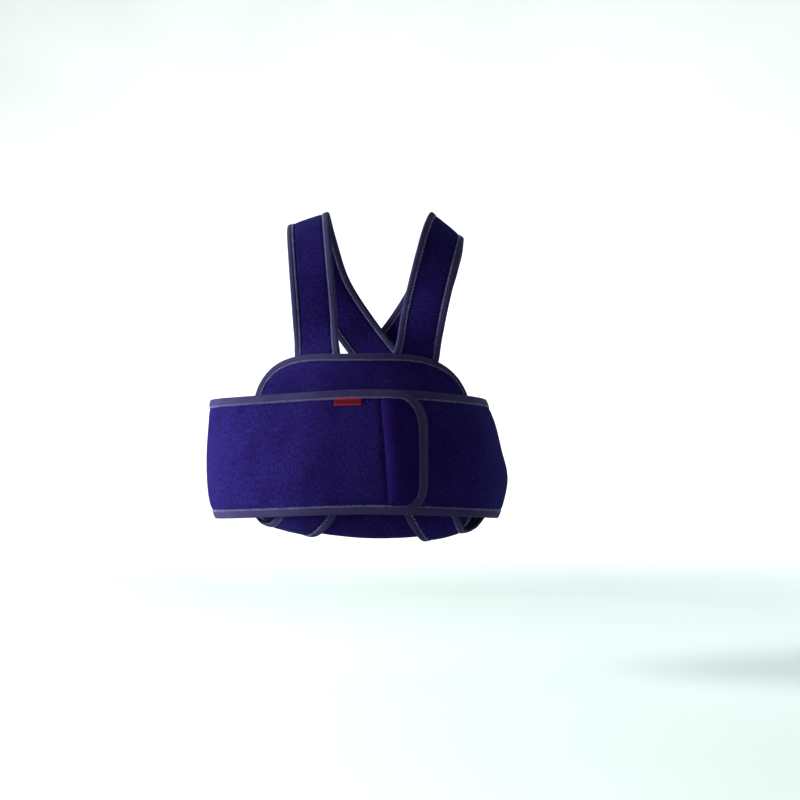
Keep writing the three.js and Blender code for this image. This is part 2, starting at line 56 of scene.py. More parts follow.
# Belt
BELT_WIDTH = 160
BELT_INNER_END = 75
BELT_OUTER_END = 71
BELT_END_ROUND = 32
BELT_END_UPPER_DROP = 50
BELT_END_LOWER_RISE = 40
BELT_HIDDEN_ROUND = 40
BELT_RAMP_LENGTH = 70
TAB_LENGTH = 52.5
TAB_LEAN = 9
TAB_SEAM_ROUND = 4

# Label
LABEL_LENGTH = 35
LABEL_HEIGHT = 9.5
LABEL_TO_END = 85
LABEL_CORNER_ROUND = 1.5

# Loop that the belt runs on
LOOP_AXIS_X = -10
LOOP_AXIS_Y = -20
REACH_LEFT = 223
REACH_RIGHT = 182
REACH_FRONT = 152
REACH_BACK = 134
LOOP_SQUARENESS = 2.4
BELT_FRONT_LEVEL = -309
BELT_BACK_LEVEL = -328
BELT_LEAN = 0.975

# Pouch
BIB_TOP_LEVEL = -184
POUCH_TURN_LEVEL = -385
POUCH_DROP = 36
BODY_PANEL_TOP_LEVEL = -200
POUCH_REACH_LEFT = 168
POUCH_REACH_RIGHT = 160
BIB_LEFT = -159
BIB_RIGHT = 105
BIB_FANNING = 0.35
BIB_CORNER_WIDTH = 114
BIB_CORNER_DROP = 64
BIB_CORNER_POWER = 2.6
BODY_PANEL_LEFT = -140
BODY_PANEL_RIGHT = 104
BODY_PANEL_DEPTH = 104
BODY_PANEL_SAG = 38
BODY_PANEL_CORNER_ROUND = 40
POUCH_BOTTOM_LENGTH = 100
STRAP_END_LEVEL = BELT_FRONT_LEVEL - 0.18 * BELT_WIDTH
DRAWN_LEVEL = BELT_FRONT_LEVEL + 0.42 * BELT_WIDTH
BEHIND_BELT = CLOTH_THICKNESS / 2 + 2 * TAPE_HALF + 2 * LAYER_CLEARANCE

# Straps
STRAP_WIDTH = 56
STRAP_END_ROUND = 26
STRAP_SEAT = 78
STRAP_TAIL = 110
STRAP_SEAT_CLEARANCE = 2
SEAT_HOLD = 40
TAIL_HOLD = 30
TAIL_BLEND = 34
BIB_CLEARANCE = 1.5
INSIDE_HALF_WIDTH = 137
INSIDE_DEPTH = 97
SHOULDER_RISE = 184
BELT_DROP = 166

# Finish
CLOTH_PUFF = 0.3
CLOTH_WAVE = 0.3
SEAM_GROOVE_DEPTH = 1.3
PATCH_PUFF = 1.3
PATCH_SINK = 0.5
END_RIDGE_HEIGHTS = (0.85, 0.75)
END_GROOVE_DEPTH = 0.25
TAPE_CROWN = 0.22
TAPE_VALLEY_DEPTH = 0.42
STITCH_STEP = 2.1
STITCH_RADIUS = 0.33
STITCH_BOW = 0.3
STITCH_ON_TAPE = 1.7
STITCH_ON_CLOTH = 1.3
STATION_STEP = 2.4

# Reaches of the loop at heights over the belt, as shares of the driving reaches. Height 0 is the
# belt's lower edge and height 1 its upper edge.
LOOP_HEIGHT = np.array([-0.3, 0.0, 0.13, 0.35, 0.58, 0.80, 1.0, 1.35])
LOOP_LEFT = np.array([0.90, 0.95, 0.982, 0.998, 1.0, 0.991, 0.982, 0.96])
LOOP_RIGHT = np.array([0.83, 0.93, 0.972, 1.0, 0.955, 0.91, 0.845, 0.76])
LOOP_FRONT = np.array([0.88, 0.972, 0.997, 1.0, 0.947, 0.868, 0.79, 0.66])
LOOP_BACK = np.array([0.93, 0.95, 0.96, 0.97, 0.985, 1.0, 1.0, 1.0])

# Drop of the pouch's fold below the turn level, across the pouch
FOLD_ACROSS = np.array([0.0, 0.15, 0.33, 0.55, 0.80, 1.0])
FOLD_DROP = np.array([0.36, 0.62, 0.88, 1.0, 0.92, 0.66])


def unit(vectors):
    """Vectors divided by their own lengths."""
    return vectors / np.linalg.norm(vectors, axis=-1, keepdims=True)


def smooth_between(start, end, value):
    """0 before start, 1 after end, and between them 3 t squared minus 2 t cubed."""
    t = np.clip((value - start) / (end - start), 0, 1)
    return t * t * (3 - 2 * t)


def hump(centre, reach, value):
    """1 at the centre, falling off as a bell curve with that reach."""
    return np.exp(-(((value - centre) / reach) ** 2))


def read_rows(places, values, at):
    """Cubic Hermite curve through the rows, each slope taken from the two neighbouring rows."""
    rows = np.arange(len(places))
    before = np.maximum(rows - 1, 0)
    after = np.minimum(rows + 1, len(places) - 1)
    slopes = (values[after] - values[before]) / (places[after] - places[before])
    k = np.clip(np.searchsorted(places, at, side="left") - 1, 0, len(places) - 2)
    span = places[k + 1] - places[k]
    t = np.clip((at - places[k]) / span, 0, 1)
    return (
        (2 * t**3 - 3 * t**2 + 1) * values[k]
        + (t**3 - 2 * t**2 + t) * span * slopes[k]
        + (3 * t**2 - 2 * t**3) * values[k + 1]
        + (t**3 - t**2) * span * slopes[k + 1]
    )


# Loop and belt

def front_narrowing(height):
    """Front reach of the loop at a height, as a share of that at the belt's middle."""
    return read_rows(LOOP_HEIGHT, LOOP_FRONT, height) / read_rows(LOOP_HEIGHT, LOOP_FRONT, np.array(0.5))


def belt_level(angle):
    """Middle level of the belt: back level, plus the rise to the front times frontness squared."""
    frontness = ((1 - np.sin(angle)) / 2) ** 2
    return BELT_BACK_LEVEL + (BELT_FRONT_LEVEL - BELT_BACK_LEVEL) * frontness


def loop_height_at(angle, level):
    """Share of the belt's width that lies below a level."""
    return (level - belt_level(angle)) / (BELT_WIDTH * BELT_LEAN) + 0.5


def loop_point(angle, height):
    """Superellipse about the loop's axis, whose four reaches are read from the rows by height."""
    c = np.cos(angle)
    s = np.sin(angle)
    left = REACH_LEFT * read_rows(LOOP_HEIGHT, LOOP_LEFT, height)
    right = REACH_RIGHT * read_rows(LOOP_HEIGHT, LOOP_RIGHT, height)
    front = REACH_FRONT * read_rows(LOOP_HEIGHT, LOOP_FRONT, height)
    back = REACH_BACK * read_rows(LOOP_HEIGHT, LOOP_BACK, height)
    reach_x = np.where(c < 0, left, right)
    reach_y = np.where(s < 0, front, back)
    power = LOOP_SQUARENESS
    radius = (np.abs(c / reach_x) ** power + np.abs(s / reach_y) ** power) ** (-1 / power)
    level = belt_level(angle) + (height - 0.5) * BELT_WIDTH * BELT_LEAN
    return np.stack([LOOP_AXIS_X + radius * c, LOOP_AXIS_Y + radius * s, level], axis=-1)


def loop_outward(angle, height):
    """Level direction across the loop: the loop's own direction turned a quarter, by central difference."""
    step = 0.01
    along = loop_point(angle + step, height) - loop_point(angle - step, height)
    return unit(np.stack([along[..., 1], -along[..., 0], 0 * along[..., 0]], axis=-1))


FRONT_ANGLE = -np.pi / 2
LOOP_STEPS = 1440
LOOP_TURNS = FRONT_ANGLE + np.arange(LOOP_STEPS + 1) / LOOP_STEPS * 2 * np.pi
LOOP_MIDDLE = loop_point(LOOP_TURNS, np.full(LOOP_STEPS + 1, 0.5))[:, :2]
LOOP_LENGTHS = np.concatenate([[0], np.cumsum(np.linalg.norm(np.diff(LOOP_MIDDLE, axis=0), axis=1))])
LOOP_LENGTH = LOOP_LENGTHS[-1]


def angle_at(length):
    """Angle at a length along the loop's middle, 0 at the front and growing towards +X."""
    turns = np.floor(length / LOOP_LENGTH)
    steps = np.interp(length - turns * LOOP_LENGTH, LOOP_LENGTHS, np.arange(LOOP_STEPS + 1))
    return FRONT_ANGLE + (steps / LOOP_STEPS + turns) * 2 * np.pi


def belt_surface(u, v):
    """Loop point at the length u, moved inwards by half the cloth and outwards again over its own start.

    The outer end keeps its length where the loop is narrower than at the belt's middle.
    """
    height = v / BELT_WIDTH + 0.5
    past_front = np.maximum(u - BELT_INNER_END - LOOP_LENGTH, 0)
    fanned = past_front**2 / BELT_OUTER_END * (1 / front_narrowing(height) - 1)
    angle = angle_at(u - BELT_INNER_END + fanned)
    ramp = smooth_between(LOOP_LENGTH - BELT_RAMP_LENGTH, LOOP_LENGTH - LAYER_PITCH, u)
    lifted = LAYER_PITCH * ramp - CLOTH_THICKNESS / 2
    return loop_point(angle, height) + loop_outward(angle, height) * lifted[..., None]


# Pouch

def body_panel_point(across, level):
    """Point of the body-side panel: a parabola across, upright."""
    side = 2 * across - 1
    x = BODY_PANEL_LEFT + (BODY_PANEL_RIGHT - BODY_PANEL_LEFT) * across
    y = BODY_PANEL_SAG * side**2 - BODY_PANEL_DEPTH
    return np.stack([x, y, level + 0 * across], axis=-1)


def front_panel_point(across, level):
    """Loop point moved in behind the belt and the strap ends, drawn back to the body panel at the top.

    The length along the loop is fanned out where the loop narrows, by a share of that narrowing.
    """
    length = POUCH_WIDTH * across - POUCH_REACH_LEFT
    height = loop_height_at(angle_at(length), level)
    angle = angle_at(length * (1 + BIB_FANNING * (1 / front_narrowing(height) - 1)))
    above_strap_ends = smooth_between(STRAP_END_LEVEL, STRAP_END_LEVEL + BELT_WIDTH / 2, level)
    strap_room = (2 * TAPE_HALF + STRAP_SEAT_CLEARANCE) * (1 - above_strap_ends)
    inward = -(BEHIND_BELT + strap_room)
    lower = loop_point(angle, height) + loop_outward(angle, height) * inward[..., None]
    upper = body_panel_point(across, level) - np.array([0, 2 * LAYER_PITCH + BIB_CLEARANCE, 0])
    upper[..., 0] = BIB_LEFT + (BIB_RIGHT - BIB_LEFT) * across
    drawn = smooth_between(DRAWN_LEVEL, BIB_TOP_LEVEL, level)[..., None]
    return lower + (upper - lower) * drawn


BODY_SPAN = BODY_PANEL_TOP_LEVEL - POUCH_TURN_LEVEL
FRONT_SPAN = BIB_TOP_LEVEL - POUCH_TURN_LEVEL
POUCH_SPAN = BODY_SPAN + POUCH_BOTTOM_LENGTH + FRONT_SPAN
POUCH_WIDTH = POUCH_REACH_LEFT + POUCH_REACH_RIGHT
BODY_PANEL_SPREAD = POUCH_WIDTH / (BODY_PANEL_RIGHT - BODY_PANEL_LEFT)


def pouch_surface(u, v):
    """Down the body-side panel, round the fold on a Bezier arc, and up the front to the bib's top."""
    across = u / POUCH_WIDTH
    along = v + POUCH_SPAN / 2
    body = body_panel_point(across, POUCH_TURN_LEVEL + BODY_SPAN - along)
    front = front_panel_point(across, POUCH_TURN_LEVEL + along - BODY_SPAN - POUCH_BOTTOM_LENGTH)
    turn = np.full_like(along, POUCH_TURN_LEVEL)
    t = np.clip((along - BODY_SPAN) / POUCH_BOTTOM_LENGTH, 0, 1)[..., None]
    handle = (POUCH_DROP * read_rows(FOLD_ACROSS, FOLD_DROP, across) / 0.75)[..., None]
    start = body_panel_point(across, turn)
    end = front_panel_point(across, turn)
    lean = unit(end - front_panel_point(across, turn + 1))
    below_start = start - np.array([0, 0, 1]) * handle
    below_end = end + lean * handle
    fold = (
        (1 - t) ** 3 * start
        + 3 * t * (1 - t) ** 2 * below_start
        + 3 * t**2 * (1 - t) * below_end
        + t**3 * end
    )
    on_body = (along <= BODY_SPAN)[..., None]
    on_front = (along >= BODY_SPAN + POUCH_BOTTOM_LENGTH)[..., None]
    return np.where(on_body, body, np.where(on_front, front, fold))


SLOPE_STEP = 0.5


def surface_normal(surface, u, v):
    """Unit cross product of the surface's directions along u and v, by central differences."""
    along_u = surface(u + SLOPE_STEP, v) - surface(u - SLOPE_STEP, v)
    along_v = surface(u, v + SLOPE_STEP) - surface(u, v - SLOPE_STEP)
    return unit(np.cross(along_u, along_v))


def off_surface(surface, u, v, offset):
    """Surface point moved along the normal by the offset."""
    return surface(u, v) + surface_normal(surface, u, v) * np.asarray(offset)[..., None]


# Straps

def curve_through(points, t, evenness):
    """Catmull-Rom curve through points: knots apart by squared distance to the power of evenness."""
    place = np.clip(t, 0, 1) * (len(points) - 1)
    k = np.minimum(place.astype(int), len(points) - 2)
    w = (place - k)[..., None]
    longer = np.concatenate([[2 * points[0] - points[1]], points, [2 * points[-1] - points[-2]]])
    p0, p1, p2, p3 = (longer[k + i] for i in range(4))

    def knot(a, b):
        return np.sum((b - a) ** 2, axis=-1, keepdims=True) ** evenness

    d0, d1, d2 = knot(p0, p1), knot(p1, p2), knot(p2, p3)
    leave = ((p1 - p0) / d0 - (p2 - p0) / (d0 + d1) + (p2 - p1) / d1) * d1
    arrive = ((p2 - p1) / d1 - (p3 - p1) / (d1 + d2) + (p3 - p2) / d2) * d1
    return (
        p1
        + leave * w
        + (3 * p2 - 3 * p1 - 2 * leave - arrive) * w**2
        + (2 * p1 - 2 * p2 + leave + arrive) * w**3
    )


CENTRIPETAL = 0.25
UNIFORM = 0
CURVE_STEPS = 600
CURVE_PLACES = np.linspace(0, 1, CURVE_STEPS + 1)


def strap_surface_and_length(seat, stations, tail):
    """Surface of a strap and its length.

    The strap lies on the channel side of the body-side panel, runs free as a ribbon through the
    stations, and is laid round the pouch's fold and up its front. x, y and z of a station are shares
    of the inside half width, the inside depth, and the rise over the belt's top corner or the drop
    below it.
    """
    xyz = np.array([station[:3] for station in stations])
    rise = np.where(
        xyz[:, 2] < -1,
        -SHOULDER_RISE + (xyz[:, 2] + 1) * BELT_DROP,
        xyz[:, 2] * SHOULDER_RISE,
    )
    route = np.stack([xyz[:, 0] * INSIDE_HALF_WIDTH, xyz[:, 1] * INSIDE_DEPTH, rise], axis=-1)
    route_facings = unit(np.array([station[3] for station in stations], dtype=float))

    seat_u, seat_v, seat_lean = seat
    seat_slope = unit(np.array([seat_lean, -1.0]))

    def on_seat(s, q, offset=0.0):
        u = seat_u + (seat_slope[0] * s + seat_slope[1] * q) * BODY_PANEL_SPREAD
        v = seat_v + seat_slope[1] * s - seat_slope[0] * q
        return off_surface(pouch_surface, u, v, -(LAYER_PITCH + offset) + 0 * u)

    tail_u, tail_v, wrap, towards, tail_angle = tail
    tail_slope = np.array([towards * np.cos(tail_angle), np.sin(tail_angle)])
    tail_length = STRAP_TAIL + wrap

    def on_tail(s, q, offset=0.0):
        u = tail_u + tail_slope[0] * (STRAP_TAIL - s) - tail_slope[1] * q
        v = tail_v + tail_slope[1] * (STRAP_TAIL - s) + tail_slope[0] * q
        return off_surface(pouch_surface, u, v, 2 * TAPE_HALF + STRAP_SEAT_CLEARANCE + offset + 0 * u)

    def at(laid, s, offset=0.0):
        return laid(np.array(float(s)), np.array(0.0), offset)

    seat_facing = at(on_seat, STRAP_SEAT, 1.0) - at(on_seat, STRAP_SEAT)
    tail_facing = at(on_tail, tail_length, 1.0) - at(on_tail, tail_length)
    points = np.concatenate([
        [at(on_seat, STRAP_SEAT - SEAT_HOLD), at(on_seat, STRAP_SEAT)],
        route,
        [at(on_tail, tail_length), at(on_tail, tail_length - TAIL_HOLD)],
    ])
    facings = np.concatenate([[seat_facing] * 2, route_facings, [tail_facing] * 2])
    walked = curve_through(points, CURVE_PLACES, CENTRIPETAL)
    lengths = np.concatenate([[0], np.cumsum(np.linalg.norm(np.diff(walked, axis=0), axis=1))])
    total = lengths[-1]
    before = np.linalg.norm(points[1] - points[0])
    free_length = total - before - np.linalg.norm(points[-1] - points[-2])
    length = STRAP_SEAT + free_length + tail_length

    def on_ribbon(s, q):
        t = np.interp(np.clip(s - STRAP_SEAT + before, 0, total), lengths, CURVE_PLACES)
        step = 0.0001
        ahead = curve_through(points, t + step, CENTRIPETAL)
        behind = curve_through(points, t - step, CENTRIPETAL)
        tangent = unit(ahead - behind)
        outward = curve_through(facings, t, UNIFORM)
        outward = unit(outward - tangent * np.sum(outward * tangent, axis=-1, keepdims=True))
        return curve_through(points, t, CENTRIPETAL) + np.cross(outward, tangent) * q[..., None]

    def surface(u, v):
        u, v = np.broadcast_arrays(u, v)
        result = on_ribbon(u, v)
        leaving = smooth_between(STRAP_SEAT, STRAP_SEAT + STRAP_WIDTH / 2, u)
        seated = leaving < 1
        mix = leaving[seated][..., None]
        result[seated] = on_seat(u[seated], v[seated]) * (1 - mix) + result[seated] * mix
        arriving = smooth_between(tail_length, tail_length + TAIL_BLEND, length - u)
        laid = arriving < 1
        mix = arriving[laid][..., None]
        result[laid] = on_tail(length - u[laid], v[laid]) * (1 - mix) + result[laid] * mix
        return result

    return surface, length


FOLD_MIDDLE = BODY_SPAN + POUCH_BOTTOM_LENGTH / 2 - POUCH_SPAN / 2
SEAT_START = -(POUCH_SPAN / 2) + STRAP_SEAT - (BIB_TOP_LEVEL - BODY_PANEL_TOP_LEVEL)
RIGHT_STATIONS = [
    (-0.62, -1.0, -0.70, (0, -1, 0.2)),
    (-0.66, -0.80, -0.38, (-0.1, -0.85, 0.5)),
    (-0.70, -0.40, -0.08, (-0.2, -0.5, 0.85)),
    (-0.71, 0.08, 0.012, (-0.33, 0.05, 0.94)),
    (-0.66, 0.60, -0.14, (-0.2, 0.65, 0.75)),
    (-0.52, 0.94, -0.46, (-0.1, 0.95, 0.3)),
    (-0.27, 1.04, -0.76, (-0.03, 1, 0.05)),
    (0.03, 1.03, -1.05, (0.03, 1, 0)),
    (0.38, 0.96, -1.36, (0.15, 1, 0)),
    (0.70, 0.72, -1.66, (0.5, 0.86, 0)),
    (0.93, 0.29, -1.90, (0.92, 0.38, 0)),
    (0.98, -0.10, -2.08, (0.92, 0.08, -0.4)),
    (0.87, -0.42, -2.25, (0.2, 0.3, -0.9)),
]
LEFT_STATIONS = [
    (0.43, -1.0, -0.70, (0.02, -1, 0.2)),
    (0.53, -0.80, -0.38, (0.15, -0.85, 0.5)),
    (0.62, -0.40, -0.12, (0.4, -0.5, 0.75)),
    (0.665, 0.08, -0.035, (0.65, 0.05, 0.76)),
    (0.62, 0.60, -0.20, (0.4, 0.65, 0.65)),
    (0.49, 0.97, -0.50, (0.1, 0.95, 0.3)),
    (0.26, 1.13, -0.78, (0.03, 1, 0.05)),
    (-0.03, 1.13, -1.05, (-0.03, 1, 0)),
    (-0.38, 1.02, -1.36, (-0.15, 1, 0)),
    (-0.70, 0.72, -1.66, (-0.5, 0.86, 0)),
    (-0.95, 0.30, -1.90, (-0.92, 0.38, 0)),
    (-1.06, -0.10, -2.06, (-1, 0, -0.2)),
    (-1.09, -0.46, -2.23, (-0.6, 0.2, -0.75)),
]
right_strap_surface, RIGHT_STRAP_LENGTH = strap_surface_and_length(
    seat=(0.28 * POUCH_WIDTH, SEAT_START, -0.1),
    stations=RIGHT_STATIONS,
    tail=(0.895 * POUCH_WIDTH, FOLD_MIDDLE, 8, -1, np.radians(48)),
)
left_strap_surface, LEFT_STRAP_LENGTH = strap_surface_and_length(
    seat=(0.69 * POUCH_WIDTH, SEAT_START, 0.24),
    stations=LEFT_STATIONS,
    tail=(0.11 * POUCH_WIDTH, FOLD_MIDDLE, 20, 1, np.radians(45)),
)


# Flat patterns

class Pattern:
    """Rounded rectangle: u from 0 to length, v from -width/2 to width/2.

    Each corner is a superellipse quarter of (reach along u, reach along v, power), in the order start
    low, end low, end high, start high.
    """

    def __init__(self, length, width, corners, step=STATION_STEP):
        self.length = length
        self.width = width
        self.corners = corners
        reach_u = max(c[0] for c in corners)
        reach_v = max(c[1] for c in corners)
        self.along_steps = max(int((length - 2 * reach_u) / step), 2)
        self.across_steps = max(int((width - 2 * reach_v) / step), 2)
        self.corner_steps = max(int(0.8 * max(reach_u, reach_v) / step), 3)

    def ring(self, inset):
        """Points round the edge, set in by inset, counterclockwise. A corner's middle ends each side."""
        low, high = -self.width / 2 + inset, self.width / 2 - inset
        start, end = inset, self.length - inset
        smallest = 1
        quarter = np.pi / 2

        def arc(i, turn):
            reach_u = max(self.corners[i][0] - inset, smallest)
            reach_v = max(self.corners[i][1] - inset, smallest)
            at_end, at_high = i in (1, 2), i > 1
            centre_u = end - reach_u if at_end else start + reach_u
            centre_v = high - reach_v if at_high else low + reach_v
            side_u = np.abs(np.cos(turn)) ** (2 / self.corners[i][2]) * (1 if at_end else -1)
            side_v = np.abs(np.sin(turn)) ** (2 / self.corners[i][2]) * (1 if at_high else -1)
            return np.stack([centre_u + reach_u * side_u, centre_v + reach_v * side_v], axis=-1)

        rounds = np.arange(self.corner_steps) / self.corner_steps
        sides = []
        for first, last, turn, steps in (
            (0, 1, quarter, self.along_steps),
            (1, 2, 0.0, self.across_steps),
            (2, 3, quarter, self.along_steps),
            (3, 0, 0.0, self.across_steps),
        ):
            sides.append(arc(first, quarter / 2 + (turn - quarter / 2) * rounds))
            runs = (np.arange(steps) / steps)[:, None]
            sides.append(arc(first, np.array(turn)) * (1 - runs) + arc(last, np.array(turn)) * runs)
            sides.append(arc(last, turn + (quarter / 2 - turn) * rounds))
        return np.concatenate(sides)


def round_corners(reach):
    """The same quarter circle at all four corners."""
    return [(reach, reach, 2)] * 4


BELT_LENGTH = LOOP_LENGTH + BELT_INNER_END + BELT_OUTER_END
belt_pattern = Pattern(BELT_LENGTH, BELT_WIDTH, [
    (BELT_HIDDEN_ROUND, BELT_HIDDEN_ROUND, 2),
    (BELT_END_ROUND, BELT_END_LOWER_RISE, 2),
    (BELT_END_ROUND, BELT_END_UPPER_DROP, 2),
    (BELT_HIDDEN_ROUND, BELT_HIDDEN_ROUND, 2),
])
pouch_pattern = Pattern(POUCH_WIDTH, POUCH_SPAN, [
    (BODY_PANEL_CORNER_ROUND, BODY_PANEL_CORNER_ROUND, 2),
    (BODY_PANEL_CORNER_ROUND, BODY_PANEL_CORNER_ROUND, 2),
    (BIB_CORNER_WIDTH, BIB_CORNER_DROP, BIB_CORNER_POWER),
    (BIB_CORNER_WIDTH, BIB_CORNER_DROP, BIB_CORNER_POWER),
])
right_strap_pattern = Pattern(RIGHT_STRAP_LENGTH, STRAP_WIDTH, round_corners(STRAP_END_ROUND))
left_strap_pattern = Pattern(LEFT_STRAP_LENGTH, STRAP_WIDTH, round_corners(STRAP_END_ROUND))

TAB_INSET = BELT_TAPE_WIDTH + SEAM_CLEARANCE
TAB_SPAN = TAB_LENGTH - TAB_INSET
tab_pattern = Pattern(TAB_SPAN, BELT_WIDTH - 2 * TAB_INSET, [
    (TAB_SEAM_ROUND, TAB_SEAM_ROUND, 2),
    (BELT_END_ROUND - TAB_INSET, BELT_END_LOWER_RISE - TAB_INSET, 2),
    (BELT_END_ROUND - TAB_INSET, BELT_END_UPPER_DROP - TAB_INSET, 2),
    (TAB_SEAM_ROUND, TAB_SEAM_ROUND, 2),
], step=1.6)
label_pattern = Pattern(LABEL_LENGTH, LABEL_HEIGHT, round_corners(LABEL_CORNER_ROUND), step=0.8)
LABEL_MIDDLE = BELT_WIDTH / 2 - BELT_TAPE_WIDTH - SEAM_CLEARANCE - LABEL_HEIGHT / 2
LABEL_NARROWING = front_narrowing(np.array(LABEL_MIDDLE / BELT_WIDTH + 0.5))
LABEL_START = BELT_LENGTH - LABEL_TO_END - LABEL_LENGTH / LABEL_NARROWING


def tab_surface(u, v):
    """Belt surface from the upright seam onwards, with the seam's upper end leaning towards the belt."""
    leaning = TAB_LEAN * (v / BELT_WIDTH) * (1 - u / TAB_SPAN)
    return belt_surface(BELT_LENGTH - TAB_LENGTH + u - leaning, v)


def label_surface(u, v):
    """Belt surface just under the upper tape, measured along the loop where it is narrower."""
    return belt_surface(LABEL_START + u / LABEL_NARROWING, LABEL_MIDDLE + v)


# Meshes

def make_piece(name, points, faces, corner_uv, material, node=None):
    """Mesh object from points, quads or triangles and one map coordinate for each face corner."""
    mesh = bpy.data.meshes.new(name)
    mesh.from_pydata((points / 1000).tolist(), [], faces.tolist())
    layer = mesh.uv_layers.new(name="UVMap")
    layer.data.foreach_set("uv", (corner_uv / 1000).ravel())
    mesh.polygons.foreach_set("use_smooth", np.ones(len(faces), dtype=bool))
    mesh.materials.append(material)
    mesh.update()
    piece = bpy.data.objects.new(name, mesh)
    bpy.context.scene.collection.objects.link(piece)
    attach(piece, "root")
    if node:
        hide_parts(node)
    return piece


def sheet_piece(name, pattern, surface, insets, upper, lower, material, node):
    """Closed sheet: rings round the edge at the insets, and a grid inside that blends its four sides.

    upper and lower give the offsets of the two faces from the middle surface by u, v and depth, which
    is the distance from the edge.
    """
    rings = [pattern.ring(inset) for inset in insets]
    inner = rings[-1]
    columns = pattern.along_steps + 2 * pattern.corner_steps
    rows = pattern.across_steps + 2 * pattern.corner_steps
    count = 2 * (columns + rows)
    i = np.arange(columns + 1)
    j = np.arange(rows + 1)
    low = inner[i]
    end = inner[columns + j]
    high = inner[(columns + rows + columns - i) % count]
    start = inner[(2 * columns + rows + rows - j) % count]
    s = (i / columns)[None, :, None]
    t = (j / rows)[:, None, None]
    grid = (
        (1 - t) * low[None] + t * high[None] + (1 - s) * start[:, None] + s * end[:, None]
        - (1 - s) * (1 - t) * low[0] - s * (1 - t) * low[-1]
        - (1 - s) * t * high[0] - s * t * high[-1]
    )
    inside = grid[1:-1, 1:-1].reshape(-1, 2)
    flat = np.concatenate(rings + [inside])
    u, v = flat[:, 0], flat[:, 1]
    inside_depth = np.minimum(
        np.minimum(inside[:, 0], pattern.length - inside[:, 0]),
        pattern.width / 2 - np.abs(inside[:, 1]),
    )
    depth = np.concatenate([np.repeat(insets, count), inside_depth])

    index = np.zeros((rows + 1, columns + 1), dtype=int)
    base = (len(insets) - 1) * count
    index[:, columns] = base + columns + j
    index[:, 0] = base + (2 * columns + rows + rows - j) % count
    index[0] = base + i
    index[rows] = base + (columns + rows + columns - i) % count
    index[1:-1, 1:-1] = len(insets) * count + np.arange(len(inside)).reshape(rows - 1, columns - 1)
    middle_quads = np.stack([index[:-1, :-1], index[:-1, 1:], index[1:, 1:], index[1:, :-1]], axis=-1)
    k = np.arange(count)
    after = (k + 1) % count
    ring_quads = [
        np.stack([r * count + k, r * count + after, (r + 1) * count + after, (r + 1) * count + k], axis=-1)
        for r in range(len(insets) - 1)
    ]
    face = np.concatenate(ring_quads + [middle_quads.reshape(-1, 4)])
    total = len(flat)
    wall = np.stack([k, total + k, total + after, after], axis=-1)
    faces = np.concatenate([face, total + face[:, ::-1], wall])

    centre = surface(u, v)
    normal = surface_normal(surface, u, v)
    points = np.concatenate([
        centre + normal * upper(u, v, depth)[:, None],
        centre + normal * lower(u, v, depth)[:, None],
    ])
    map_points = np.concatenate([flat, flat])
    return make_piece(name, points, faces, map_points[faces.ravel()], material, node)


